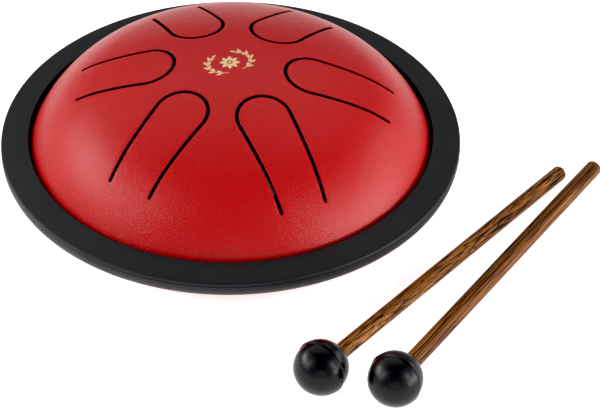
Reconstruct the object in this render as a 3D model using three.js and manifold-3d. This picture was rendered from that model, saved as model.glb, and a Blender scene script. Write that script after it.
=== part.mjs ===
// A small steel tongue drum and its pair of mallets, in millimetres, +Z up.
//
// The drum is two pressed steel shells whose flanges lie back to back inside a rubber ring. Six tongues are
// cut through the dome, and the drum stands on three rubber feet. The mallets lie on the same surface, z = 0,
// beside the drum. The drum is modelled about its own axis, with its longest tongue towards -Y, and the whole
// set is then moved so that the origin is the middle of its footprint.

import * as THREE from 'three';
import { mergeVertices } from 'three/addons/utils/BufferGeometryUtils.js';
import Module from 'manifold-3d';

const wasm = await Module();
wasm.setup();

// ---- Driving dimensions -------------------------------------------------------------------------------

const GAP = 0.3;                 // air between pieces that touch
const ROUND_STEPS = 48;          // facets round the shells and the ring
const SHEET = 1.5;               // steel thickness of both shells

// Dome: a crown arc, a tighter shoulder arc and a short straight wall, measured on its outer face.
const CROWN_RADIUS = 140.7;
const SHOULDER_RADIUS = 53.3;
const WALL_RADIUS = 83;          // where the shoulder ends and the wall starts
const WALL_HEIGHT = 33.64;       // height of that circle above the surface the drum stands on
const WALL_SLOPE = THREE.MathUtils.degToRad(66);
const FLANGE_RADIUS = 89;
const FLANGE_TOP = 31.1;         // upper face of the dome's flange
const FLANGE_FILLET = 2;         // outer fillet between wall and flange

// Bottom shell: flat, with one corner arc, and the round sound hole in the middle.
const BASE_HEIGHT = 6.5;         // underside of the bottom shell
const BASE_CORNER_RADIUS = 20;
const SOUND_HOLE_RADIUS = 20;

// Rubber ring round the flanges.
const RING_RADIUS = 96.4;
const RING_INNER_RADIUS = 84.65;
const RING_INNER_TOP = 35;
const RING_OUTER_TOP = 33;
const RING_BOTTOM = 23.3;
const RING_TOP_EDGE = 0.8;       // radius of the outer top edge
const RING_LOWER_ROUND = 7.4;    // radius of the outer lower edge
const RING_LOWER_LIP_RADIUS = 85.4;

// Tongues: distance from the drum's axis to each root, in 60 degree steps, starting at -Y.
const TONGUE_ROOTS = [72.4, 67, 59, 55.7, 63, 69.8];
const TONGUE_STEP = Math.PI / 3;
const TONGUE_TIP_CENTRE = 34.6;  // centre of the round tip, from the drum's axis
const TONGUE_TIP_RADIUS = 11.35; // on the middle line of the slot
const TONGUE_TAPER = 0.041;      // half width lost per millimetre towards the root
const SLOT_WIDTH = 1.55;

// Feet and their fasteners.
const FOOT_CIRCLE_RADIUS = 50;
const FOOT_ANGLES = [-90, 30, 150].map(THREE.MathUtils.degToRad);
const FOOT_RADIUS = 8;
const FOOT_TOP_RADIUS = 6.8;
const FOOT_RECESS_RADIUS = 3.6;
const FOOT_RECESS_DEPTH = 3.4;
const SCREW_RADIUS = 1.5;
const SCREW_HEAD_RADIUS = 2.9;
const SCREW_HEAD_HEIGHT = 2;
const SCREW_LENGTH = 10.5;
const CLEARANCE_RADIUS = 1.85;   // holes that the screws pass through
const WASHER_RADIUS = 4;
const WASHER_THICKNESS = 0.6;
const NUT_FLATS = 5.5;           // across flats
const NUT_HEIGHT = 2.4;

// Mallets: where each ball stands, from the drum's axis, and its stick's heading and radius at the ball. The
// sticks are turned by hand, so one is a little thicker than the other.
const MALLETS = [
  { x: -17.53, y: -127.26, heading: THREE.MathUtils.degToRad(28.25), stick: 3.45 },
  { x: 6.52, y: -146.18, heading: THREE.MathUtils.degToRad(34.35), stick: 3.68 },
];
const BALL_RADIUS = 11.4;
const STICK_LENGTH = 171.5;      // from the ball's centre to the tip
const STICK_TAPER = 0.27;        // radius lost between the ball and the tip
const STICK_END_ROUND = 1.6;
const BORE_END = -3;             // floor of the ball's bore, from the ball's centre

const FINISHES = {
  enamel: { color: 0xb81c22, roughness: 0.42, metalness: 0.35 },
  rubber: { color: 0x26282b, roughness: 0.6, metalness: 0 },
  steel: { color: 0xb9bcc0, roughness: 0.35, metalness: 1 },
  wood: { color: 0x8a4d1f, roughness: 0.5, metalness: 0 },
};

// ---- Geometry helpers ---------------------------------------------------------------------------------

// A closed geometry as a manifold-3d solid: shared vertices merged, and triangles without area dropped.
function toSolid(geometry) {
  const bare = geometry.clone();
  bare.deleteAttribute('normal');
  bare.deleteAttribute('uv');
  const merged = mergeVertices(bare);
  const index = merged.index.array;
  const triangles = [];
  for (let i = 0; i < index.length; i += 3) {
    const [a, b, c] = index.slice(i, i + 3);
    if (a !== b && b !== c && c !== a) triangles.push(a, b, c);
  }
  return new wasm.Manifold(new wasm.Mesh({
    numProp: 3,
    vertProperties: new Float32Array(merged.attributes.position.array),
    triVerts: new Uint32Array(triangles),
  }));
}

function toGeometry(solid) {
  const { vertProperties, triVerts } = solid.getMesh();
  const geometry = new THREE.BufferGeometry();
  geometry.setAttribute('position', new THREE.BufferAttribute(vertProperties, 3));
  geometry.setIndex(new THREE.BufferAttribute(triVerts, 1));
  geometry.computeVertexNormals();
  return geometry;
}

// A solid of revolution about Z from an outline of (radius, height) points, which starts and ends on the
// axis or is closed here.
function revolve(outline, steps) {
  const points = [...outline];
  const onAxis = points[0].x === 0 && points.at(-1).x === 0;
  if (THREE.ShapeUtils.area(points) < 0) points.reverse();
  if (!onAxis) points.push(points[0].clone());
  return toSolid(new THREE.LatheGeometry(points, steps).rotateX(Math.PI / 2));
}

function extrude(shape, bottom, top, curveSegments) {
  const options = { depth: top - bottom, bevelEnabled: false, curveSegments };
  return new THREE.ExtrudeGeometry(shape, options).translate(0, 0, bottom);
}

function point(radius, height) {
  return new THREE.Vector2(radius, height);
}

// Points on an arc, both ends included; angles are measured from +radius towards +height.
function arc(radius, height, size, from, to, steps) {
  return Array.from({ length: steps + 1 }, (_, i) => {
    const angle = from + ((to - from) * i) / steps;
    return point(radius + size * Math.cos(angle), height + size * Math.sin(angle));
  });
}

function mesh(name, finish, geometry) {
  const result = new THREE.Mesh(geometry, new THREE.MeshStandardMaterial(FINISHES[finish]));
  result.name = name;
  return result;
}

// ---- Pressed shells -----------------------------------------------------------------------------------

// The outline of a sheet pressed from the axis outwards, drawn level at first: each move is a straight
// length or a turn. A turn with a positive angle goes down, round a centre below the sheet, and a negative
// one comes back up. `depth` gives the parallel line that much below the upper face.
function pressedLine(startRadius, startHeight, moves, depth) {
  let position = point(startRadius, startHeight - depth);
  let slope = 0;
  const line = [position];
  for (const { length, turn, radius, steps } of moves) {
    if (length) {
      position = position.clone().add(point(Math.cos(slope), -Math.sin(slope)).multiplyScalar(length));
      line.push(position);
      continue;
    }
    const side = Math.sign(turn);
    const size = radius - side * depth;
    const centre = position.clone().sub(point(Math.sin(slope), Math.cos(slope)).multiplyScalar(side * size));
    for (let i = 1; i <= steps; i++) {
      const angle = slope + (turn * i) / steps;
      position = centre.clone().add(point(Math.sin(angle), Math.cos(angle)).multiplyScalar(side * size));
      line.push(position);
    }
    slope += turn;
  }
  return line;
}

function pressedOutline(startRadius, startHeight, moves) {
  const upper = pressedLine(startRadius, startHeight, moves, 0);
  const lower = pressedLine(startRadius, startHeight, moves, SHEET);
  return [...upper, ...lower.reverse()];
}

// The straight wall between a corner arc and the flange fillet, which ends `drop` below the arc's end.
function wallLength(drop) {
  return (drop - FLANGE_FILLET * (1 - Math.cos(WALL_SLOPE))) / Math.sin(WALL_SLOPE);
}

// Where the flange starts, outside a wall that starts at `radius`.
function flangeStart(radius, length) {
  return radius + length * Math.cos(WALL_SLOPE) + FLANGE_FILLET * Math.sin(WALL_SLOPE);
}

const DOME_WALL = wallLength(WALL_HEIGHT - FLANGE_TOP);
const FLANGE_INNER = flangeStart(WALL_RADIUS, DOME_WALL);

function domeSolid() {
  const shoulder = point(
    WALL_RADIUS - SHOULDER_RADIUS * Math.sin(WALL_SLOPE),
    WALL_HEIGHT - SHOULDER_RADIUS * Math.cos(WALL_SLOPE),
  );
  const crownAngle = Math.asin(shoulder.x / (CROWN_RADIUS - SHOULDER_RADIUS));
  const top = shoulder.y - (CROWN_RADIUS - SHOULDER_RADIUS) * Math.cos(crownAngle) + CROWN_RADIUS;
  return revolve(pressedOutline(0, top, [
    { turn: crownAngle, radius: CROWN_RADIUS, steps: 4 },
    { turn: WALL_SLOPE - crownAngle, radius: SHOULDER_RADIUS, steps: 5 },
    { length: DOME_WALL },
    { turn: -WALL_SLOPE, radius: FLANGE_FILLET, steps: 2 },
    { length: FLANGE_RADIUS - FLANGE_INNER },
  ]), ROUND_STEPS);
}

// The bottom shell is drawn upside down, like the dome, and then turned over.
function bottomShell(holes) {
  const flangeBottom = FLANGE_TOP - 2 * SHEET - GAP;
  const depth = flangeBottom - BASE_HEIGHT;
  const wall = wallLength(depth - BASE_CORNER_RADIUS * (1 - Math.cos(WALL_SLOPE)));
  const cornerEnd = FLANGE_INNER - flangeStart(0, wall);
  const flat = cornerEnd - BASE_CORNER_RADIUS * Math.sin(WALL_SLOPE) - SOUND_HOLE_RADIUS;
  const outline = pressedOutline(SOUND_HOLE_RADIUS, 0, [
    { length: flat },
    { turn: WALL_SLOPE, radius: BASE_CORNER_RADIUS, steps: 4 },
    { length: wall },
    { turn: -WALL_SLOPE, radius: FLANGE_FILLET, steps: 2 },
    { length: FLANGE_RADIUS - FLANGE_INNER },
  ]).map(({ x, y }) => point(x, BASE_HEIGHT - y));
  return holes.reduce((solid, hole) => solid.subtract(hole), revolve(outline, ROUND_STEPS));
}

// ---- Tongues ------------------------------------------------------------------------------------------

// A tongue's outline, with +X from the drum's axis towards its root, grown sideways by `grow`.
function tongueOutline(root, end, grow) {
  const tip = TONGUE_TIP_RADIUS + grow;
  const half = TONGUE_TIP_RADIUS - TONGUE_TAPER * (root - TONGUE_TIP_CENTRE) + grow;
  const shape = new THREE.Shape();
  shape.moveTo(end, -half);
  shape.lineTo(end, half);
  shape.lineTo(TONGUE_TIP_CENTRE, tip);
  shape.absarc(TONGUE_TIP_CENTRE, 0, tip, Math.PI / 2, (3 * Math.PI) / 2, false);
  return shape;
}

function tonguePrism(root, end, grow, angle) {
  return toSolid(extrude(tongueOutline(root, end, grow), 0, 100, 8).rotateZ(angle));
}

// The round end of a slot, at one side of a tongue's root.
function slotEnd(root, side, angle) {
  const half = TONGUE_TIP_RADIUS - TONGUE_TAPER * (root - TONGUE_TIP_CENTRE);
  const end = new THREE.CylinderGeometry(SLOT_WIDTH / 2, SLOT_WIDTH / 2, 100, 10).rotateX(Math.PI / 2);
  return toSolid(end.translate(root, side * half, 50).rotateZ(angle));
}

// The dome without its tongues and slots, and the six tongues. A tongue is the dome's own sheet as far as
// its root, where a narrow gap lets it turn as a separate solid.
function cutDome() {
  const dome = domeSolid();
  let shell = dome;
  const tongues = TONGUE_ROOTS.map((root, i) => {
    const angle = -Math.PI / 2 + i * TONGUE_STEP;
    shell = shell.subtract(tonguePrism(root, root, SLOT_WIDTH / 2, angle));
    for (const side of [-1, 1]) shell = shell.subtract(slotEnd(root, side, angle));
    return dome.intersect(tonguePrism(root, root - GAP, -SLOT_WIDTH / 2, angle));
  });
  return { shell, tongues };
}

// ---- Rubber ring --------------------------------------------------------------------------------------

// The ring's section: its groove holds both flanges, and a thin lip closes the gap at the dome's wall.
function rimRing() {
  const upperFace = FLANGE_TOP + GAP;
  const lowerFace = FLANGE_TOP - 2 * SHEET - 2 * GAP;
  const grooveRadius = FLANGE_RADIUS + GAP;
  const quarter = Math.PI / 2;
  const topEdge = RING_RADIUS - RING_TOP_EDGE;
  const lowerCentre = RING_RADIUS - RING_LOWER_ROUND;
  return revolve([
    point(RING_INNER_RADIUS, RING_INNER_TOP),
    ...arc(topEdge, RING_OUTER_TOP - RING_TOP_EDGE / 2, RING_TOP_EDGE, quarter * 0.9, 0, 2),
    ...arc(lowerCentre, RING_BOTTOM + RING_LOWER_ROUND, RING_LOWER_ROUND, 0, -quarter, 4),
    point(RING_LOWER_LIP_RADIUS + 1, RING_BOTTOM),
    point(RING_LOWER_LIP_RADIUS, RING_BOTTOM + 1),
    point(RING_LOWER_LIP_RADIUS, lowerFace),
    point(grooveRadius, lowerFace),
    point(grooveRadius, upperFace),
    ...arc(FLANGE_INNER, FLANGE_TOP + FLANGE_FILLET, FLANGE_FILLET - GAP, -quarter, -quarter - WALL_SLOPE, 2),
    point(RING_INNER_RADIUS, RING_INNER_TOP - 2.2),
  ], ROUND_STEPS);
}

// ---- Feet and fasteners, each on its own axis with z = 0 at the surface it stands on --------------------

function foot() {
  const top = BASE_HEIGHT - GAP;
  return revolve([
    point(FOOT_RECESS_RADIUS, 0),
    point(FOOT_RADIUS - 0.6, 0),
    point(FOOT_RADIUS, 0.6),
    point(FOOT_TOP_RADIUS, top),
    point(CLEARANCE_RADIUS, top),
    point(CLEARANCE_RADIUS, FOOT_RECESS_DEPTH),
    point(FOOT_RECESS_RADIUS, FOOT_RECESS_DEPTH),
  ], 24);
}

function screw() {
  const headTop = FOOT_RECESS_DEPTH - GAP;
  const headBottom = headTop - SCREW_HEAD_HEIGHT;
  return revolve([
    point(0, headBottom),
    point(SCREW_HEAD_RADIUS * 0.7, headBottom),
    point(SCREW_HEAD_RADIUS, headBottom + 0.8),
    point(SCREW_HEAD_RADIUS, headTop),
    point(SCREW_RADIUS, headTop),
    point(SCREW_RADIUS, headTop + SCREW_LENGTH - 0.5),
    point(SCREW_RADIUS - 0.5, headTop + SCREW_LENGTH),
    point(0, headTop + SCREW_LENGTH),
  ], 16);
}

function washer() {
  const bottom = BASE_HEIGHT + SHEET + GAP;
  return revolve([
    point(CLEARANCE_RADIUS, bottom),
    point(WASHER_RADIUS, bottom),
    point(WASHER_RADIUS, bottom + WASHER_THICKNESS),
    point(CLEARANCE_RADIUS, bottom + WASHER_THICKNESS),
  ], 16);
}

function nut() {
  const bottom = BASE_HEIGHT + SHEET + WASHER_THICKNESS + 2 * GAP;
  const corner = NUT_FLATS / 2 / Math.cos(Math.PI / 6);
  const corners = Array.from({ length: 6 }, (_, i) => {
    return point(corner * Math.cos((i * Math.PI) / 3), corner * Math.sin((i * Math.PI) / 3));
  });
  const shape = new THREE.Shape(corners);
  shape.holes.push(new THREE.Path().absarc(0, 0, CLEARANCE_RADIUS, 0, 2 * Math.PI, true));
  return toSolid(extrude(shape, bottom, bottom + NUT_HEIGHT, 6));
}

function screwHole(angle) {
  const hole = new THREE.CylinderGeometry(CLEARANCE_RADIUS, CLEARANCE_RADIUS, 10, 16).rotateX(Math.PI / 2);
  return toSolid(hole.translate(FOOT_CIRCLE_RADIUS, 0, BASE_HEIGHT).rotateZ(angle));
}

function footGroup(angle, number) {
  const group = new THREE.Group();
  group.add(
    mesh(`foot_${number}`, 'rubber', toGeometry(foot())),
    mesh(`foot_screw_${number}`, 'steel', toGeometry(screw())),
    mesh(`foot_washer_${number}`, 'steel', toGeometry(washer())),
    mesh(`foot_nut_${number}`, 'steel', toGeometry(nut())),
  );
  group.position.set(FOOT_CIRCLE_RADIUS * Math.cos(angle), FOOT_CIRCLE_RADIUS * Math.sin(angle), 0);
  return group;
}

// ---- Mallets, each along +Z from the centre of its ball -------------------------------------------------

function malletHead(stick) {
  const bore = stick + GAP;
  const mouth = Math.asin(bore / BALL_RADIUS);
  return revolve([
    ...arc(0, 0, BALL_RADIUS, -Math.PI / 2, Math.PI / 2 - mouth, 10).with(0, point(0, -BALL_RADIUS)),
    point(bore, BORE_END),
    point(0, BORE_END),
  ], 20);
}

function malletStick(stick) {
  const start = BORE_END + GAP;
  const end = stick - STICK_TAPER - STICK_END_ROUND;
  return revolve([
    point(0, start),
    point(stick - 0.6, start),
    point(stick, start + 0.6),
    ...arc(end, STICK_LENGTH - STICK_END_ROUND, STICK_END_ROUND, 0, Math.PI / 2, 3),
    point(0, STICK_LENGTH),
  ], 16);
}

// The ball and the tip of the stick both touch z = 0, so the stick slopes down towards its tip.
function malletGroup({ x, y, heading, stick }, number) {
  const group = new THREE.Group();
  group.add(
    mesh(`mallet_head_${number}`, 'rubber', toGeometry(malletHead(stick))),
    mesh(`mallet_stick_${number}`, 'wood', toGeometry(malletStick(stick))),
  );
  const drop = BALL_RADIUS - stick + STICK_TAPER;
  const slope = Math.asin(drop / (STICK_LENGTH - STICK_END_ROUND));
  const level = Math.cos(slope);
  const direction = new THREE.Vector3(level * Math.cos(heading), level * Math.sin(heading), -Math.sin(slope));
  group.quaternion.setFromUnitVectors(new THREE.Vector3(0, 0, 1), direction);
  group.position.set(x, y, BALL_RADIUS);
  return group;
}

// ---- Assembly -----------------------------------------------------------------------------------------

const drum = new THREE.Group();
const { shell, tongues } = cutDome();
drum.add(mesh('top_shell', 'enamel', toGeometry(shell)));
tongues.forEach((tongue, i) => drum.add(mesh(`tongue_${i + 1}`, 'enamel', toGeometry(tongue))));
drum.add(mesh('bottom_shell', 'enamel', toGeometry(bottomShell(FOOT_ANGLES.map(screwHole)))));
drum.add(mesh('rim_ring', 'rubber', toGeometry(rimRing())));
FOOT_ANGLES.forEach((angle, i) => drum.add(footGroup(angle, i + 1)));

const group = new THREE.Group();
group.add(drum, ...MALLETS.map((mallet, i) => malletGroup(mallet, i + 1)));

// The origin is the middle of the set's footprint, on the surface it stands on.
const middle = new THREE.Box3().setFromObject(group, true).getCenter(new THREE.Vector3());
group.position.set(-middle.x, -middle.y, 0);

export default group;
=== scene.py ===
"""The looks of a small steel tongue drum and its pair of mallets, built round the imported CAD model.

Sizes are in millimetres in the drum's own frame: its axis is x = y = 0, its longest tongue lies towards
-Y, and it stands on z = 0. place() turns them into metres in the row frame. A mallet has its own frame,
along +Z from the middle of its ball.
"""

import math

import bmesh
import bpy
import numpy as np
from mathutils import Matrix, Vector
from mathutils.geometry import delaunay_2d_cdt


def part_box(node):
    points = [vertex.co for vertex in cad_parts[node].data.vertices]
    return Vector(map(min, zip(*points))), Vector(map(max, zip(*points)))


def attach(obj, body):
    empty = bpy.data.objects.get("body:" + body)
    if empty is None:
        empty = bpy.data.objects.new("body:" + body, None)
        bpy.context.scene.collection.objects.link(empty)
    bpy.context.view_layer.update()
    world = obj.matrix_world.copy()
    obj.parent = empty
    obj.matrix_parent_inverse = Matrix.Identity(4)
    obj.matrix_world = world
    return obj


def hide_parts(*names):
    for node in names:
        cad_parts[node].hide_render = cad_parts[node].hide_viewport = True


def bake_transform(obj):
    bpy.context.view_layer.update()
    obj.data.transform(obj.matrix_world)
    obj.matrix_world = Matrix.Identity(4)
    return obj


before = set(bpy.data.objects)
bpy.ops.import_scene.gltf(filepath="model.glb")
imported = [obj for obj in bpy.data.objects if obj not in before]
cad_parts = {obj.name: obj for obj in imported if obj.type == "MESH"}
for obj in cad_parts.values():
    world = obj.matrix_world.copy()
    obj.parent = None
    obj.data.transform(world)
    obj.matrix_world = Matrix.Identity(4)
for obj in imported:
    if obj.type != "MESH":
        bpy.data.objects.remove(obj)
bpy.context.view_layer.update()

# ---- Driving dimensions -------------------------------------------------------------------------------

MM = 0.001
GAP = 0.3                      # air between pieces that touch
SHEET = 1.5                    # steel thickness of both shells
EDGE = 0.15                    # rounding of cut and painted edges
ROUND = 288                    # points round the shells and the ring

CROWN_RADIUS = 140.7
SHOULDER_RADIUS = 53.3
WALL_RADIUS, WALL_HEIGHT = 83.0, 33.64
WALL_SLOPE = math.radians(66)
SHOULDER = (WALL_RADIUS - SHOULDER_RADIUS * math.sin(WALL_SLOPE),
            WALL_HEIGHT - SHOULDER_RADIUS * math.cos(WALL_SLOPE))
CROWN_ANGLE = math.asin(SHOULDER[0] / (CROWN_RADIUS - SHOULDER_RADIUS))
CROWN_CENTRE = SHOULDER[1] - (CROWN_RADIUS - SHOULDER_RADIUS) * math.cos(CROWN_ANGLE)
FLANGE_RADIUS, FLANGE_TOP, FLANGE_FILLET = 89.0, 31.1, 2.0

BASE_HEIGHT, BASE_CORNER, SOUND_HOLE = 6.5, 20.0, 20.0
FOOT_CIRCLE, FOOT_RADIUS, FOOT_TOP = 50.0, 8.0, 6.8
FOOT_ANGLES = [math.radians(a) for a in (-90, 30, 150)]
RECESS_RADIUS, RECESS_DEPTH = 3.6, 3.4
GRIP_INNER, GRIP_OUTER, GRIP_DEPTH = 5.4, 6.1, 0.35          # groove in a foot's sole
SCREW_RADIUS, SCREW_HEAD, SCREW_END, CLEARANCE = 1.5, 2.9, 13.6, 1.85
SCREW_FACE_RADIUS, SCREW_FACE = 1.9, 1.1                    # the flat that looks down
CROSS_DEPTH, THREAD_DEPTH, THREAD_STEP = 1.1, 0.14, 0.25
WASHER_RADIUS, WASHER_BOTTOM, WASHER_TOP = 4.0, 8.3, 8.9
NUT_FLATS, NUT_BOTTOM, NUT_TOP = 5.5, 9.2, 11.6

RING_RADIUS, RING_INNER, RING_LIP = 96.4, 84.65, 85.4
RING_INNER_TOP, RING_OUTER_TOP, RING_BOTTOM = 35.0, 33.0, 23.3
RING_TOP_EDGE, RING_LOWER_ROUND = 0.8, 7.4
RING_TOP_NORMAL = 80           # degrees above level that the ring's top face looks outwards
SEAM_TOP, SEAM_DEPTH = 31.7, 0.25                           # moulding groove round the ring

TONGUE_ROOTS = (72.4, 67.0, 59.0, 55.7, 63.0, 69.8)
TONGUE_ANGLES = [math.radians(60 * i - 90) for i in range(6)]
TIP_CENTRE, TIP_RADIUS, TAPER, SLOT = 34.6, 11.35, 0.041, 1.55

BALL, BORE_END = 11.4, -3.0    # the ball's radius, and the floor of its bore from its middle
STICK_LENGTH, STICK_TAPER, STICK_END = 171.5, 0.27, 1.6
# Each ball's place, its stick's heading and radius, and the width of its parting groove.
MALLETS = (
    (-17.53, -127.26, math.radians(28.25), 3.45, 0.4),
    (6.52, -146.18, math.radians(34.35), 3.68, 0.7),
)

DOME_RIM = 76.0                # past every tongue's root, where the dome's plan layout ends
BASE_MARGIN = 2.0              # level ring between the base's plan layout and its corner arc
DOME_SPACING, BASE_SPACING, SLOT_SPACING = 1.6, 3.0, 1.2    # between a layout's points

CAMERA_PLACE, CAMERA_TARGET = (-600.3, -1363.0, 1196.9), (7.4, -53.25, 33)
CAMERA_LENS, CAMERA_SENSOR = 270, 36
VIEW = Vector((0.4209, 0.9071, 0))      # the way the camera looks, over the floor
RIGHT = Vector((0.9071, -0.4209, 0))
FLOOR_REACH, FLOOR_DROP = 4000, 0.3     # the floor's half side, and how far it lies under z = 0

ring_low, ring_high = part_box("rim_ring")
AXIS = np.array([(ring_low.x + ring_high.x) / 2, (ring_low.y + ring_high.y) / 2, 0.0])


def place(points):
    """Millimetres in the drum's frame as metres in the row frame."""
    return np.asarray(points, float) * MM + AXIS


# ---- Materials ----------------------------------------------------------------------------------------

class Nodes:
    """A node tree, with the coordinates that it reads and short ways to add to it."""

    def __init__(self, tree, coordinates):
        self.tree = tree
        self.where = self.add("ShaderNodeTexCoord").outputs[coordinates]

    def add(self, kind, inputs=(), **settings):
        """A node. An input given as a socket is linked, and any other value is set."""
        node = self.tree.nodes.new(kind)
        for key, value in settings.items():
            setattr(node, key, value)
        self.fill(node, dict(inputs))
        return node

    def fill(self, node, inputs):
        for key, value in inputs.items():
            if isinstance(value, bpy.types.NodeSocket):
                self.tree.links.new(value, node.inputs[key])
            else:
                node.inputs[key].default_value = value

    def range(self, value, low, high, to_low=0.0, to_high=1.0):
        return self.add("ShaderNodeMapRange", {
            "Value": value, "From Min": low, "From Max": high, "To Min": to_low, "To Max": to_high,
        }).outputs[0]

    def math(self, operation, first, second):
        return self.add("ShaderNodeMath", {0: first, 1: second}, operation=operation).outputs[0]

    def measure(self, operation, other):
        """The DISTANCE from a point, or the DOT_PRODUCT with a direction."""
        inputs = {0: self.where, 1: other}
        return self.add("ShaderNodeVectorMath", inputs, operation=operation).outputs["Value"]

    def at_least(self, strength, mirrored):
        """The mirrored strength, raised to `strength` for what is seen directly."""
        direct = self.add("ShaderNodeLightPath").outputs["Is Camera Ray"]
        return self.math("MAXIMUM", mirrored, self.math("MULTIPLY", direct, strength))


class Shader(Nodes):
    """A new material with texture coordinates in metres: the row frame's, or those of a placed piece."""

    def __init__(self, name, matrix=None):
        self.material = bpy.data.materials.new(name)
        self.material.use_nodes = True
        super().__init__(self.material.node_tree, "Object")
        self.bsdf = self.tree.nodes["Principled BSDF"]
        if matrix:
            self.where = self.add("ShaderNodeMapping", {
                "Vector": self.where, "Location": matrix.translation, "Rotation": matrix.to_euler(),
            }, vector_type="TEXTURE").outputs[0]

    def stretched(self, scale, shift=(0.0, 0.0, 0.0)):
        inputs = {"Vector": self.where, "Scale": scale, "Location": shift}
        return self.add("ShaderNodeMapping", inputs).outputs[0]

    def noise(self, size, detail=2.0, roughness=0.5, vector=None, distortion=0.0):
        """Noise with features of about `size` millimetres."""
        return self.add("ShaderNodeTexNoise", {
            "Vector": vector or self.where, "Scale": 1000 / size, "Detail": detail,
            "Roughness": roughness, "Distortion": distortion,
        }).outputs["Fac"]

    def mix(self, factor, first, second):
        """A colour between two others."""
        inputs = {0: factor, 6: first, 7: second}
        return self.add("ShaderNodeMix", inputs, data_type="RGBA").outputs[2]

    def bump(self, height, depth, strength=1.0, normal=None):
        """A bump whose full height is `depth` millimetres."""
        inputs = {"Height": height, "Distance": depth * MM, "Strength": strength}
        if normal:
            inputs["Normal"] = normal
        return self.add("ShaderNodeBump", inputs).outputs[0]

    def finish(self, **inputs):
        self.fill(self.bsdf, {key.replace("_", " "): value for key, value in inputs.items()})
        return self.material


def colour(red, green, blue):
    """An sRGB colour of 0 to 255 as a linear one."""
    def linear(value):
        value /= 255
        return value / 12.92 if value <= 0.04045 else ((value + 0.055) / 1.055) ** 2.4
    return (linear(red), linear(green), linear(blue), 1.0)


def enamel():
    """Satin powder coat: an even red whose fine grain shows where light skims it."""
    s = Shader("red powder coat")
    grain = s.noise(0.48, 1.0, 0.5)
    fine = s.noise(0.3, 2, 0.6)
    clouds = s.noise(28, 2, 0.5)
    red = s.mix(s.range(grain, 0.36, 0.64), colour(165, 22, 24), colour(171, 25, 27))
    red = s.mix(s.range(clouds, 0.3, 0.7, 0, 0.4), red, colour(169, 23, 25))
    peel = s.bump(s.noise(3, 1, 0.5), 0.02, 0.5)
    rough = s.bump(grain, 0.18, 0.8, peel)
    return s.finish(Base_Color=red, Roughness=s.range(fine, 0.3, 0.7, 0.25, 0.33),
                    Specular_IOR_Level=0.22, Normal=rough)


def painted_inner_shade():
    """Painted shade: a dark coat on the cut walls of the slots and inside the chamber, standing in for the
    dark of the unlit chamber.
    """
    s = Shader("painted inner shade")
    grain = s.noise(0.8, 3, 0.6)
    shade = s.mix(s.range(grain, 0.35, 0.65), colour(10, 7, 7), colour(20, 14, 14))
    return s.finish(Base_Color=shade, Roughness=s.range(grain, 0.3, 0.7, 0.6, 0.75),
                    Specular_IOR_Level=0.1, Normal=s.bump(grain, 0.03, 0.5))


def rubber(name, dark, light, roughness, shine, grain_size=0.5, depth=0.02):
    """Moulded rubber: a dull, mottled surface with a fine grain."""
    s = Shader(name)
    grain = s.noise(grain_size, 3, 0.6)
    mottle = s.noise(1.6, 3, 0.6)
    shade = s.mix(s.range(s.math("ADD", grain, mottle), 0.7, 1.3), dark, light)
    smudges = s.noise(14, 3, 0.55)
    gloss = s.range(s.math("ADD", mottle, smudges), 0.7, 1.3, roughness - 0.07, roughness + 0.07)
    return s.finish(Base_Color=shade, Roughness=gloss, Specular_IOR_Level=shine,
                    Normal=s.bump(grain, depth, 0.6))


def wood(name, matrix, shift, length, dark, shades):
    """Oiled palm or hardwood dowel: brown, and crossed lengthwise by dark fibres about `length` mm long.

    `dark` is the share of the wood that the fibres take, and `shades` the browns between them.
    """
    s = Shader(name, matrix)
    squeeze = 1 / length
    fibres = s.noise(0.42, 2, 0.6, s.stretched((1, 1, 0.42 * squeeze), shift), 0.3)
    streaks = s.noise(0.7, 3, 0.6, s.stretched((1, 1, 0.7 * squeeze), shift), 0.4)
    bands = s.noise(3.6, 2, 0.5, s.stretched((1, 1, 1.2 * squeeze), shift))
    base = s.mix(s.range(bands, 0.36, 0.64), *shades)
    edge = 0.5 + 0.14 * (0.5 - dark)
    base = s.mix(s.range(fibres, edge - 0.01, edge + 0.04, 0, 0.85), base, colour(46, 22, 8))
    base = s.mix(s.range(streaks, edge + 0.03, edge + 0.07, 0, 0.95), base, colour(26, 12, 5))
    gloss = s.range(fibres, 0.3, 0.7, 0.42, 0.6)
    return s.finish(Base_Color=base, Roughness=gloss, Specular_IOR_Level=0.12,
                    Normal=s.bump(fibres, -0.06, 0.5))


def steel():
    """Zinc-plated steel: bright, with fine tool marks and dull patches."""
    s = Shader("plated steel")
    marks = s.noise(0.16, 2, 0.5, s.stretched((1, 1, 6)))
    patches = s.noise(1.8, 3, 0.6)
    shade = s.mix(s.range(patches, 0.35, 0.65), colour(168, 170, 172), colour(205, 206, 204))
    gloss = s.range(s.math("ADD", marks, patches), 0.6, 1.4, 0.24, 0.46)
    return s.finish(Base_Color=shade, Metallic=1.0, Roughness=gloss, Normal=s.bump(marks, 0.006, 0.5))


def gold_print():
    """Gold ink: a pale beige gold, slightly broken by the coat's grain under it."""
    s = Shader("gold print")
    grain = s.noise(0.45, 3, 0.6)
    shade = s.mix(s.range(grain, 0.35, 0.65), colour(196, 158, 110), colour(228, 198, 150))
    return s.finish(Base_Color=shade, Metallic=0.2, Roughness=s.range(grain, 0.3, 0.7, 0.4, 0.55),
                    Specular_IOR_Level=0.3, Normal=s.bump(grain, 0.02, 0.5))


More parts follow.
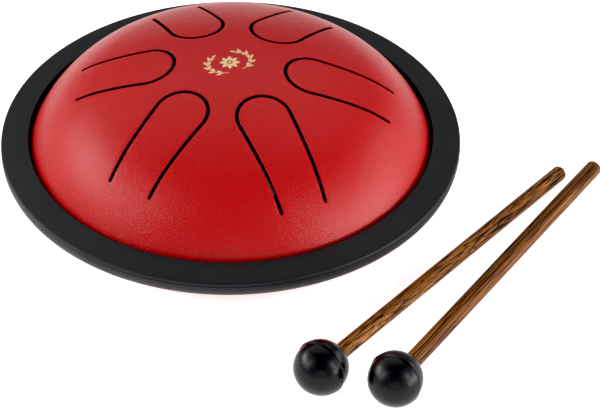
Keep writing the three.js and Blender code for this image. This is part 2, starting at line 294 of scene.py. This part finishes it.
def paper():
    """White paper, lit from below except under the drum.

    The drum and the balls mirror a sheet that glows less far away and behind the drum.
    """
    s = Shader("studio paper")
    fibre = s.noise(3, 3, 0.6)
    apart = s.measure("DISTANCE", AXIS)
    along = s.measure("DOT_PRODUCT", VIEW)
    middle = Vector(AXIS).dot(VIEW)
    far = s.range(apart, 0.27, 1.2, 1.0, 0.5)
    behind = s.range(along, middle + 0.05, middle + 0.14, 0.8, 0.3)
    glow = s.at_least(0.8, s.math("MULTIPLY", far, behind))
    glow = s.math("MULTIPLY", glow, s.range(apart, 0.045, 0.070))
    shade = s.mix(fibre, (0.84, 0.84, 0.84, 1), (0.87, 0.87, 0.87, 1))
    return s.finish(Base_Color=shade, Roughness=0.9, Emission_Color=(1, 1, 1, 1), Emission_Strength=glow)


ENAMEL = enamel()
# Dark painted shade for the slot walls and the inside of the chamber.
PAINTED_INNER_SHADE = painted_inner_shade()
RING_RUBBER = rubber("ring rubber", colour(15, 16, 19), colour(24, 26, 30), 0.48, 0.26, depth=0.06)
FOOT_RUBBER = rubber("foot rubber", colour(16, 17, 18), colour(28, 29, 30), 0.68, 0.15)
MALLET_RUBBER = rubber("mallet rubber", colour(8, 9, 11), colour(15, 17, 20), 0.28, 0.22, 0.7, 0.012)
STEEL = steel()
GOLD = gold_print()
# Each stick's length of fibre, the share of it that the dark fibres take, and the browns between them.
WOODS = (
    (10, 0.5, (colour(134, 82, 35), colour(178, 116, 56))),
    (34, 0.46, (colour(104, 60, 22), colour(148, 92, 40))),
)


# ---- Meshes -------------------------------------------------------------------------------------------

def new_piece(name, vertices, faces, material, body=None, matrix=None, sharp=40):
    """A mesh piece with smooth faces and edges that stay sharp past `sharp` degrees."""
    mesh = bpy.data.meshes.new(name)
    mesh.from_pydata([tuple(v) for v in vertices], [], [tuple(int(i) for i in f) for f in faces])
    if matrix:
        mesh.transform(matrix)
    shaped = bmesh.new()
    shaped.from_mesh(mesh)
    bmesh.ops.recalc_face_normals(shaped, faces=shaped.faces)
    shaped.to_mesh(mesh)
    shaped.free()
    mesh.shade_smooth()
    mesh.set_sharp_from_angle(angle=math.radians(sharp))
    mesh.materials.append(material)
    piece = bpy.data.objects.new(name, mesh)
    bpy.context.scene.collection.objects.link(piece)
    if body:
        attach(piece, body)
    return piece


def strip(first, second):
    """Faces between two closed rows of point numbers."""
    return [(a, b, d, c) for a, b, c, d in zip(first, np.roll(first, -1), second, np.roll(second, -1))]


def arc(centre, radius, start, end, steps):
    """Points on an arc, both ends included, with angles in degrees from +x towards +y."""
    angles = np.radians(np.linspace(start, end, steps + 1))
    return np.stack([centre[0] + radius * np.cos(angles), centre[1] + radius * np.sin(angles)], 1)


def line(start, end, spacing):
    """Points from start up to but not including end."""
    count = max(1, round(math.dist(start, end) / spacing))
    return np.linspace(start, end, count, endpoint=False)


def circle(radius, height, count=ROUND):
    angles = np.linspace(0, 2 * math.pi, count, endpoint=False)
    return np.stack([radius * np.cos(angles), radius * np.sin(angles), np.full(count, height)], 1)


def revolve(profile, count):
    """Vertices and faces of a solid of revolution.

    The profile starts and ends on the axis or closes on itself.
    """
    vertices, rows, faces = [], [], []
    for radius, height in profile:
        size = count if radius > 0 else 1
        rows.append(np.resize(np.arange(size), count) + len(vertices))
        vertices.extend(circle(radius, height, size))
    pairs = list(zip(rows, rows[1:]))
    if profile[0][0] > 0:
        pairs.append((rows[-1], rows[0]))
    for first, second in pairs:
        corners = [tuple(dict.fromkeys(face)) for face in strip(first, second)]
        faces += [face for face in corners if len(face) > 2]
    return np.array(vertices), faces


# ---- Flat layouts: loops in plan, filled with triangles -----------------------------------------------

def inside(points, loop):
    """Which points lie inside a closed loop."""
    x, y = points[:, 0, None], points[:, 1, None]
    x1, y1 = loop.T
    x2, y2 = np.roll(x1, -1), np.roll(y1, -1)
    rise = np.where(y2 == y1, 1.0, y2 - y1)
    crossed = ((y1 > y) != (y2 > y)) & (x < (x2 - x1) * (y - y1) / rise + x1)
    return crossed.sum(1) % 2 == 1


def between(points, boundary, holes):
    kept = inside(points, boundary)
    for hole in holes:
        kept &= ~inside(points, hole)
    return kept


def filling(boundary, holes, spacing):
    """Points on circles round the drum's axis that fill the layout, clear of its loops."""
    radii = np.arange(spacing, np.hypot(*boundary.T).max(), spacing)
    circles = [circle(r, 0, max(6, round(2 * math.pi * r / spacing)))[:, :2] for r in radii]
    points = np.vstack([[[0.0, 0.0]], *circles])
    points = points[between(points, boundary, holes)]
    edge = np.vstack([boundary, *holes])
    nearest = np.array([np.hypot(*(edge - p).T).min() for p in points])
    return points[nearest > 0.6 * spacing]


def triangulate(boundary, holes, spacing):
    """Points and triangles that fill a boundary round its holes, with the loops' points first."""
    loops = [boundary, *holes]
    points = np.vstack([*loops, filling(boundary, holes, spacing)])
    edges, start = [], 0
    for loop in loops:
        numbers = np.arange(len(loop)) + start
        edges += zip(numbers.tolist(), np.roll(numbers, -1).tolist())
        start += len(loop)
    _, _, faces, origins, _, _ = delaunay_2d_cdt([Vector(p) for p in points], edges, [], 0, 1e-7)
    faces = np.array([[origins[i][0] for i in face] for face in faces])
    return points, faces[between(points[faces].mean(1), boundary, holes)]


def paint_inner_shade(piece, inner):
    """Gives the faces that touch an inner vertex the dark painted shade of the unlit inside."""
    piece.data.materials.append(PAINTED_INNER_SHADE)
    for face in piece.data.polygons:
        face.material_index = int(inner[face.vertices].any())


# ---- Sheet steel parts --------------------------------------------------------------------------------

def dome_point(plan, depth):
    """Points that lie `depth` under the dome's outer face, below the given plan points."""
    radius = np.hypot(*plan.T)
    crown = radius < CROWN_RADIUS * math.sin(CROWN_ANGLE)
    sine = np.where(crown, radius / CROWN_RADIUS, (radius - SHOULDER[0]) / SHOULDER_RADIUS)
    cosine = np.sqrt(1 - sine ** 2)
    height = np.where(crown, CROWN_CENTRE + CROWN_RADIUS * cosine,
                      SHOULDER[1] + SHOULDER_RADIUS * cosine)
    outward = plan / np.maximum(radius, 1e-9)[:, None]
    return np.column_stack([plan - outward * (sine * depth)[:, None], height - cosine * depth])


def base_point(plan, depth):
    """Points that lie `depth` above the flat underside of the bottom shell."""
    return np.column_stack([plan, np.full(len(plan), BASE_HEIGHT + depth)])


def sheet_part(surface, outline, cuts, rim_rows, spacing):
    """A sheet part: two faces, the rounded cut edges between them and, past its rim, its revolved rows.

    `outline` and `cuts` give a loop for each distance from the cut edge. A part with rim rows has a plain
    circle for its outline. Returns the vertices, the faces and which vertices lie on the inner face.
    """
    angles = np.radians([0, 30, 60, 90])
    rows = [(EDGE * (1 - math.sin(a)), EDGE * (1 - math.cos(a))) for a in angles] + [(0.0, SHEET)]
    loops = [outline, *cuts]
    blocks, faces, numbers, inner = [], [], [], []
    for offset, depth in (rows[0], rows[-1]):
        points, triangles = triangulate(outline(offset), [cut(offset) for cut in cuts], spacing)
        start = sum(map(len, blocks))
        blocks.append(surface(points, depth))
        inner += [depth == SHEET] * len(points)
        faces += (triangles + start).tolist()
        ends = np.cumsum([0] + [len(loop(offset)) for loop in loops]) + start
        numbers.append([np.arange(a, b) for a, b in zip(ends, ends[1:])])
    chains = [[surface(loop(offset), depth) for offset, depth in rows[1:-1]] for loop in loops]
    if rim_rows:
        chains[0] = [circle(*row) for row in rim_rows]
    for chain, first, last in zip(chains, *numbers):
        for number, row in enumerate(chain):
            now = np.arange(len(row)) + len(inner)
            blocks.append(row)
            inner += [bool(rim_rows) and chain is chains[0] and number >= len(chain) // 2] * len(row)
            faces += strip(first, now)
            first = now
        faces += strip(first, last)
    return np.vstack(blocks), faces, np.array(inner)


def pressed_rows(start, slope, moves):
    """(radius, height) rows of a pressed sheet from its rim out to its edge, and back under the sheet.

    A move is (length, 0), or (radius, turn) where a positive turn goes down.
    """
    sides = []
    for depth in (0.0, SHEET):
        heading = slope
        position = np.array(start) - depth * np.array([math.sin(slope), math.cos(slope)])
        side = []
        for size, turn in moves:
            if turn == 0:
                position = position + size * np.array([math.cos(heading), -math.sin(heading)])
                side.append(position)
                continue
            reach = math.copysign(size, turn) - depth
            centre = position - reach * np.array([math.sin(heading), math.cos(heading)])
            for angle in np.linspace(heading, heading + turn, 9)[1:]:
                position = centre + reach * np.array([math.sin(angle), math.cos(angle)])
                side.append(position)
            heading += turn
        sides.append(side)
    return sides[0] + sides[1][::-1]


def wall_length(drop):
    """The straight wall between a corner arc and the flange fillet, which ends `drop` below the arc."""
    return (drop - FLANGE_FILLET * (1 - math.cos(WALL_SLOPE))) / math.sin(WALL_SLOPE)


def flange_start(radius, length):
    """Where the flange starts, outside a wall that starts at `radius`."""
    return radius + length * math.cos(WALL_SLOPE) + FLANGE_FILLET * math.sin(WALL_SLOPE)


DOME_WALL = wall_length(WALL_HEIGHT - FLANGE_TOP)
FLANGE_INNER = flange_start(WALL_RADIUS, DOME_WALL)


def to_drum(points, angle):
    """A tongue's layout, with +X towards its root, turned to its place on the drum."""
    turn = np.array([[math.cos(angle), math.sin(angle)], [-math.sin(angle), math.cos(angle)]])
    return points @ turn


def slot_edge(root, angle, side, offset):
    """One edge of a tongue's slot and the line across its root, `offset` from the cut.

    side is 1 for the edge on the shell, which takes in the slot's round ends, and -1 for the tongue's own.
    """
    grow = side * (SLOT / 2 + offset)
    half = TIP_RADIUS - TAPER * (root - TIP_CENTRE)
    leg = line((root, half + grow), (TIP_CENTRE, TIP_RADIUS + grow), SLOT_SPACING)
    if side > 0:
        leg = np.vstack([arc((root, half), grow, -90, 90, 10)[:-1], leg])
    tip = arc((TIP_CENTRE, 0), TIP_RADIUS + grow, 90, 270, 36)
    back = leg[::-1] * (1, -1)
    across = half - SLOT / 2 - EDGE
    root_line = np.stack([np.full(13, root), np.linspace(-across, across, 15)[1:-1]], 1)
    return to_drum(np.vstack([leg, tip, back, root_line]), angle)


def plain_circle(radius):
    """A layout's outline that stays the same circle at every distance from the cut edge."""
    return lambda offset: circle(radius, 0)[:, :2]


def top_shell():
    cuts = [lambda offset, r=r, a=a: slot_edge(r, a, 1, offset)
            for r, a in zip(TONGUE_ROOTS, TONGUE_ANGLES)]
    slope = math.asin((DOME_RIM - SHOULDER[0]) / SHOULDER_RADIUS)
    rows = pressed_rows((DOME_RIM, SHOULDER[1] + SHOULDER_RADIUS * math.cos(slope)), slope, [
        (SHOULDER_RADIUS, WALL_SLOPE - slope),
        (DOME_WALL, 0),
        (FLANGE_FILLET, -WALL_SLOPE),
        (FLANGE_RADIUS - FLANGE_INNER, 0),
    ])
    vertices, faces, inner = sheet_part(dome_point, plain_circle(DOME_RIM), cuts, rows, DOME_SPACING)
    shell = new_piece("dome", place(vertices), faces, ENAMEL, "drum")
    paint_inner_shade(shell, inner)
    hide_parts("top_shell")


def tongue(number, root, angle):
    """A tongue cut from the dome's sheet, which runs into it at its root without a break."""
    def edge(offset):
        return slot_edge(root, angle, -1, offset)

    vertices, faces, inner = sheet_part(dome_point, edge, [], [], DOME_SPACING)
    name = f"tongue_{number}"
    piece = new_piece(f"dome_{name}", place(vertices), faces, ENAMEL)
    paint_inner_shade(piece, inner)
    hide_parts(name)
    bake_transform(piece)


def hole(centre, radius, offset, count):
    return arc(centre, radius + offset, 0, 360, count)[:-1]


def bottom_shell():
    feet = [(FOOT_CIRCLE * math.cos(a), FOOT_CIRCLE * math.sin(a)) for a in FOOT_ANGLES]
    cuts = [lambda offset: hole((0, 0), SOUND_HOLE, offset, 120)]
    cuts += [lambda offset, c=c: hole(c, CLEARANCE, offset, 24) for c in feet]
    depth = FLANGE_TOP - 2 * SHEET - GAP - BASE_HEIGHT
    wall = wall_length(depth - BASE_CORNER * (1 - math.cos(WALL_SLOPE)))
    flat_edge = FLANGE_INNER - flange_start(0, wall) - BASE_CORNER * math.sin(WALL_SLOPE)
    rows = pressed_rows((flat_edge - BASE_MARGIN, 0), 0, [
        (BASE_MARGIN, 0),
        (BASE_CORNER, WALL_SLOPE),
        (wall, 0),
        (FLANGE_FILLET, -WALL_SLOPE),
        (FLANGE_RADIUS - FLANGE_INNER, 0),
    ])
    rows = [(radius, BASE_HEIGHT - height) for radius, height in rows]
    outline = plain_circle(flat_edge - BASE_MARGIN)
    vertices, faces, inner = sheet_part(base_point, outline, cuts, rows, BASE_SPACING)
    shell = new_piece("bowl", place(vertices), faces, ENAMEL, "drum")
    paint_inner_shade(shell, inner)
    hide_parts("bottom_shell")


# ---- Rubber ring, feet and fasteners ------------------------------------------------------------------

def rim_ring():
    """The ring's section runs outwards from its inner top edge, past the moulding groove."""
    upper, lower = FLANGE_TOP + GAP, FLANGE_TOP - 2 * SHEET - 2 * GAP
    groove = FLANGE_RADIUS + GAP
    seam = RING_RADIUS - SEAM_DEPTH
    top_centre = (RING_RADIUS - RING_TOP_EDGE, RING_OUTER_TOP - RING_TOP_EDGE)
    lower_centre = (RING_RADIUS - RING_LOWER_ROUND, RING_BOTTOM + RING_LOWER_ROUND)
    profile = np.vstack([
        arc((RING_INNER + 0.5, RING_INNER_TOP - 0.5), 0.5, 180, RING_TOP_NORMAL, 4),
        arc(top_centre, RING_TOP_EDGE, RING_TOP_NORMAL, 0, 5),
        [(RING_RADIUS, SEAM_TOP), (seam, SEAM_TOP - 0.2)],
        [(seam, SEAM_TOP - 0.5), (RING_RADIUS, SEAM_TOP - 0.7)],
        arc(lower_centre, RING_LOWER_ROUND, 0, -90, 14),
        [(RING_LIP + 1, RING_BOTTOM), (RING_LIP, RING_BOTTOM + 1), (RING_LIP, lower)],
        [(groove, lower), (groove, upper)],
        arc((FLANGE_INNER, FLANGE_TOP + FLANGE_FILLET), FLANGE_FILLET - GAP, -90, -156, 5),
        [(RING_INNER - 0.5, RING_INNER_TOP - 2.4), (RING_INNER, RING_INNER_TOP - 2.0)],
    ])
    vertices, faces = revolve(profile, ROUND)
    ring = new_piece("ring", place(vertices), faces, RING_RUBBER, "drum")
    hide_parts("rim_ring")


def foot_mesh():
    """A foot with a shallow grip groove in its sole and the recess for the screw's head."""
    top = BASE_HEIGHT - GAP
    return revolve(np.vstack([
        [(RECESS_RADIUS, 0.3), (RECESS_RADIUS + 0.3, 0), (GRIP_INNER, 0), (GRIP_INNER + 0.2, GRIP_DEPTH),
         (GRIP_OUTER - 0.2, GRIP_DEPTH), (GRIP_OUTER, 0)],
        arc((FOOT_RADIUS - 0.6, 0.6), 0.6, -90, 0, 4),
        arc((FOOT_TOP - 0.5, top - 0.5), 0.5, 10, 90, 4),
        [(CLEARANCE, top), (CLEARANCE, RECESS_DEPTH), (RECESS_RADIUS, RECESS_DEPTH)],
    ]), 96)


def cross(reach, width):
    """The outline of a cross recess."""
    quarter = np.array([(width, width), (width, reach), (-width, reach)])
    return np.vstack([to_drum(quarter, k * math.pi / 2) for k in range(4)])


def screw_mesh():
    """A pan head screw, head down, with a cross recess and a threaded shank."""
    count, top = 48, RECESS_DEPTH - GAP
    face = circle(SCREW_FACE_RADIUS, 0, count)[:, :2]
    mouth, bed = cross(1.45, 0.32), cross(0.9, 0.22)
    layers = [(face, [mouth], SCREW_FACE), (bed, [], SCREW_FACE + CROSS_DEPTH)]
    blocks, faces, starts = [], [], []
    for outline, holes, height in layers:
        points, triangles = triangulate(outline, holes, 0.5)
        starts.append(sum(map(len, blocks)))
        blocks.append(np.column_stack([points, np.full(len(points), height)]))
        faces += (triangles + starts[-1]).tolist()
    faces += strip(np.arange(len(mouth)) + len(face), np.arange(len(bed)) + starts[1])
    side = arc((SCREW_FACE_RADIUS, SCREW_FACE + 1.0), 1.0, -70, 0, 5).tolist()
    side += [(SCREW_HEAD, top - 0.1), (SCREW_HEAD - 0.1, top)]
    thread = [(SCREW_RADIUS - THREAD_DEPTH * (i % 2), top + THREAD_STEP * i) for i in range(41)]
    last = np.arange(count)
    for radius, height in side + thread + [(1.0, SCREW_END), (0.4, SCREW_END)]:
        now = np.arange(count) + sum(map(len, blocks))
        blocks.append(circle(radius, height, count))
        faces += strip(last, now)
        last = now
    faces.append(last.tolist())
    return np.vstack(blocks), faces


def washer_mesh():
    edge = 0.1
    return revolve([
        (CLEARANCE, WASHER_BOTTOM + edge), (CLEARANCE + edge, WASHER_BOTTOM),
        (WASHER_RADIUS - edge, WASHER_BOTTOM), (WASHER_RADIUS, WASHER_BOTTOM + edge),
        (WASHER_RADIUS, WASHER_TOP - edge), (WASHER_RADIUS - edge, WASHER_TOP),
        (CLEARANCE + edge, WASHER_TOP), (CLEARANCE, WASHER_TOP - edge),
    ], 72)


def nut_mesh():
    """A hexagon nut whose corners are turned off at both ends."""
    thick, chamfer, bevel = NUT_TOP - NUT_BOTTOM, 0.42, 0.3
    flat, outside = 2.62, 4.0      # radius of the end faces, and one past the corners
    rows = [(CLEARANCE + bevel, 0), (flat, 0), (outside, chamfer), (outside, thick - chamfer),
            (flat, thick), (CLEARANCE + bevel, thick), (CLEARANCE, thick - bevel), (CLEARANCE, bevel)]
    vertices, faces = revolve([(radius, NUT_BOTTOM + height) for radius, height in rows], 72)
    turned = np.arctan2(vertices[:, 1], vertices[:, 0]) % (math.pi / 3) - math.pi / 6
    radius = np.hypot(vertices[:, 0], vertices[:, 1])
    scale = np.minimum(radius, NUT_FLATS / 2 / np.cos(turned)) / radius
    vertices[:, :2] *= scale[:, None]
    return vertices, faces


def feet():
    """The three feet, each with its own turn of the screw. The nuts all stand the same way."""
    parts = (
        ("foot", foot_mesh(), FOOT_RUBBER, "foot_rubber"),
        ("foot_screw", screw_mesh(), STEEL, "fastener_steel"),
        ("foot_washer", washer_mesh(), STEEL, "fastener_steel"),
        ("foot_nut", nut_mesh(), STEEL, "fastener_steel"),
    )
    for number, angle in enumerate(FOOT_ANGLES, 1):
        centre = place((FOOT_CIRCLE * math.cos(angle), FOOT_CIRCLE * math.sin(angle), 0))
        matrix = Matrix.Translation(centre) @ Matrix.Rotation(0.7 * number, 4, "Z")
        for name, (vertices, faces), material, slot in parts:
            turned = Matrix.Translation(centre) if name == "foot_nut" else matrix
            piece = new_piece(f"{name}_mesh_{number}", vertices * MM, faces, material, "drum",
                              turned, sharp=30)
            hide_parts(f"{name}_{number}")


# ---- Ornament -----------------------------------------------------------------------------------------

PRINT = 0.06                    # how far the ink stands above the coat


def leaf(base, heading, length, width):
    """The outline of a pointed leaf."""
    along = np.linspace(0, 1, 9)
    half = width / 2 * np.sin(math.pi * along ** 0.8)
    left = np.stack([along * length, half], 1)
    right = np.stack([along * length, -half], 1)
    return to_drum(np.vstack([left, right[-2:0:-1]]), heading) + base


def band(points, width):
    """The outline of a stroke with tapering ends along an open run of points."""
    points = np.array(points)
    step = np.gradient(points, axis=0)
    normal = np.stack([-step[:, 1], step[:, 0]], 1) / np.hypot(*step.T)[:, None]
    half = width / 2 * np.sqrt(np.sin(np.linspace(0.06, 0.94, len(points)) * math.pi))[:, None]
    return np.vstack([points + normal * half, (points - normal * half)[::-1]])


def ornament():
    """A rosette between two laurel sprigs, printed in gold on the crown."""
    shapes = []
    for k in range(8):
        turn = math.pi / 8 + k * math.pi / 4
        shapes.append(leaf(np.array([math.cos(turn), math.sin(turn)]), turn, 3.4, 1.9))
    shapes.append(circle(0.62, 0, 24)[:, :2])
    for side in (1, -1):
        angles = np.radians(np.linspace(-78, 62, 29))
        stem = np.stack([side * (1.4 + 8.0 * np.cos(angles)), 0.4 + 6.6 * np.sin(angles)], 1)
        shapes.append(band(stem, 0.5))
        for place_on, spread in ((4, 0.55), (9, 0.6), (14, 0.6), (19, 0.6), (24, 0.55)):
            step = stem[place_on + 1] - stem[place_on - 1]
            heading = math.atan2(step[1], step[0])
            for way in (1, -1):
                shapes.append(leaf(stem[place_on], heading + way * spread, 2.9, 1.15))
        step = stem[-1] - stem[-2]
        shapes.append(leaf(stem[-1] - 0.2 * step, math.atan2(step[1], step[0]), 2.4, 1.0))
    blocks, faces = [], []
    for shape in shapes:
        points, triangles = triangulate(shape, [], 0.9)
        start = sum(map(len, blocks))
        count = len(points)
        blocks += [dome_point(points, -PRINT), dome_point(points, PRINT / 2)]
        faces += (triangles + start).tolist() + (triangles + start + count).tolist()
        rim = np.arange(len(shape)) + start
        faces += strip(rim, rim + count)
    new_piece("crown_ornament", place(np.vstack(blocks)), faces, GOLD, "drum")


# ---- Mallets ------------------------------------------------------------------------------------------

MISMATCH, SLIP = 0.45, math.radians(38)     # how far and which way a ball's stick half is off centre


def ball_mesh(bore, seam_width):
    """The ball from its far pole to the bore's mouth, with the mould's parting line round its middle.

    The half on the stick's side sits a little off centre at the parting line.
    """
    lip, depth, mouth = 0.1, 0.3, math.degrees(math.acos(bore / BALL))
    spread = math.degrees(seam_width / 2 / BALL)

    def at(angle, height=0.0):
        turn = math.radians(angle)
        return (BALL + height) * math.cos(turn), (BALL + height) * math.sin(turn)

    lower = [at(a) for a in np.linspace(-90, -spread * 2.6, 40)[1:]]
    seam = [at(-spread * 1.7, lip), at(-spread, lip * 0.6), at(-spread * 0.6, -depth),
            at(spread * 0.6, -depth), at(spread, lip * 0.6), at(spread * 1.7, lip)]
    upper = [at(a) for a in np.linspace(spread * 2.6, mouth - 2, 34)]
    rim = [at(mouth - 0.6, -0.05), (bore, BALL * math.sin(math.radians(mouth)) - 0.3)]
    profile = [(0, -BALL)] + lower + seam + upper + rim + [(bore, BORE_END), (0, BORE_END)]
    vertices, faces = revolve(profile, 128)
    outer = np.hypot(vertices[:, 0], vertices[:, 1]) > bore + 0.01
    share = np.where((vertices[:, 2] > 0) & outer, 1 - (vertices[:, 2] / upper[-1][1]) ** 2, 0)
    vertices[:, :2] += np.outer(share.clip(0), (math.cos(SLIP), math.sin(SLIP))) * MISMATCH
    return vertices, faces


def stick_mesh(head):
    start, tip = BORE_END + GAP, head - STICK_TAPER
    radii = np.linspace(head, tip, 60)
    heights = np.linspace(start + 1, STICK_LENGTH - STICK_END, 60)
    return revolve(np.vstack([
        [(0, start), (head - 0.6, start), (head, start + 0.6)],
        np.stack([radii, heights], 1)[1:-1],
        arc((tip - STICK_END, STICK_LENGTH - STICK_END), STICK_END, 0, 90, 10),
        [(0, STICK_LENGTH)],
    ]), 48)


def mallets():
    """Each mallet's own frame has +Z along the stick and +X level."""
    for number, ((x, y, heading, radius, seam), grain) in enumerate(zip(MALLETS, WOODS), 1):
        slope = math.asin((BALL - radius + STICK_TAPER) / (STICK_LENGTH - STICK_END))
        reach = math.cos(slope)
        along = Vector((reach * math.cos(heading), reach * math.sin(heading), -math.sin(slope)))
        level = Vector((-math.sin(heading), math.cos(heading), 0))
        matrix = Matrix((level, along.cross(level), along)).transposed().to_4x4()
        matrix.translation = place((x, y, BALL))
        body = f"mallet_{number}"
        shift = (0.013 * number, 0.007 * number, 0.031 * number)
        timber = wood(f"oiled wood {number}", matrix, shift, *grain)
        for kind, (vertices, faces), material, slot in (
            ("head", ball_mesh(radius + GAP, seam), MALLET_RUBBER, "mallet_rubber"),
            ("stick", stick_mesh(radius), timber, "mallet_wood"),
        ):
            piece = new_piece(f"{body}_{kind}_mesh", vertices * MM, faces, material, body, matrix)
            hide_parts(f"mallet_{kind}_{number}")


# ---- Studio -------------------------------------------------------------------------------------------

def aimed(thing, position, target):
    thing.location = Vector(position)
    thing.rotation_euler = (Vector(target) - Vector(position)).to_track_quat("-Z", "Y").to_euler()
    bpy.context.scene.collection.objects.link(thing)


def softbox(name, azimuth, elevation, distance, size, power, target=(0, 0, 35)):
    """An area light aimed at the target. Azimuth 0 is behind the camera, and 90 is on its right."""
    turn, rise = math.radians(azimuth), math.radians(elevation)
    way = (RIGHT * math.sin(turn) - VIEW * math.cos(turn)) * math.cos(rise)
    way += Vector((0, 0, math.sin(rise)))
    centre = Vector(place(target))
    light = bpy.data.lights.new(name, "AREA")
    light.shape = "RECTANGLE"
    light.size, light.size_y = size
    light.energy = power
    aimed(bpy.data.objects.new(name, light), centre + way * distance, centre)


def sky():
    """Pale studio walls. The drum mirrors a darker ceiling and a darker wall behind it."""
    world = bpy.data.worlds.new("studio")
    world.use_nodes = True
    s = Nodes(world.node_tree, "Generated")
    ceiling = s.range(s.measure("DOT_PRODUCT", (0, 0, 1)), 0.55, 0.75, 0.42, 0.28)
    behind = s.range(s.measure("DOT_PRODUCT", VIEW), 0.0, 0.7, 1.0, 0.45)
    strength = s.at_least(0.85, s.math("MULTIPLY", ceiling, behind))
    s.fill(s.tree.nodes["Background"], {"Color": (1, 1, 1, 1), "Strength": strength})
    return world


def floor():
    signs = ((-1, -1), (1, -1), (1, 1), (-1, 1))
    corners = [Vector((x * FLOOR_REACH, y * FLOOR_REACH, -FLOOR_DROP)) * MM for x, y in signs]
    sheet = bpy.data.meshes.new("floor")
    sheet.from_pydata(corners, [], [(0, 1, 2, 3)])
    sheet.materials.append(paper())
    piece = bpy.data.objects.new("floor", sheet)
    bpy.context.scene.collection.objects.link(piece)


def lights():
    softbox("left softbox", -98, 25, 1.4, (1.0, 0.4), 12.8)
    softbox("left back softbox", -118, 30, 1.4, (1.0, 0.4), 2.6)
    softbox("right softbox", 74, 7, 1.4, (1.3, 0.35), 14.5)
    softbox("right back softbox", 105, 18, 1.4, (1.0, 0.4), 5)
    softbox("back softbox", 180, 52, 1.4, (1.6, 1.2), 6)
    softbox("front fill", 0, 12, 1.4, (1.0, 0.4), 1.4)
    balls = (-5, -137, 11)
    softbox("left strip", -71, 33, 0.7, (0.08, 0.45), 1.3, balls)
    softbox("right strip", 62, 33, 0.7, (0.16, 0.3), 1.3, balls)


def camera():
    scene = bpy.context.scene
    scene.view_settings.view_transform = "Standard"
    scene.view_settings.use_curve_mapping = True
    scene.view_settings.curve_mapping.black_level = (0.012, 0.012, 0.012)
    optics = bpy.data.cameras.new("camera")
    optics.sensor_width = CAMERA_SENSOR
    optics.lens = CAMERA_LENS
    optics.clip_start, optics.clip_end = 0.05, 50
    scene.camera = bpy.data.objects.new("camera", optics)
    aimed(scene.camera, place(CAMERA_PLACE), place(CAMERA_TARGET))


top_shell()
for tongue_number, (tongue_root, tongue_angle) in enumerate(zip(TONGUE_ROOTS, TONGUE_ANGLES), 1):
    tongue(tongue_number, tongue_root, tongue_angle)
bottom_shell()
rim_ring()
feet()
ornament()
mallets()
floor()
lights()
bpy.context.scene.world = sky()
camera()
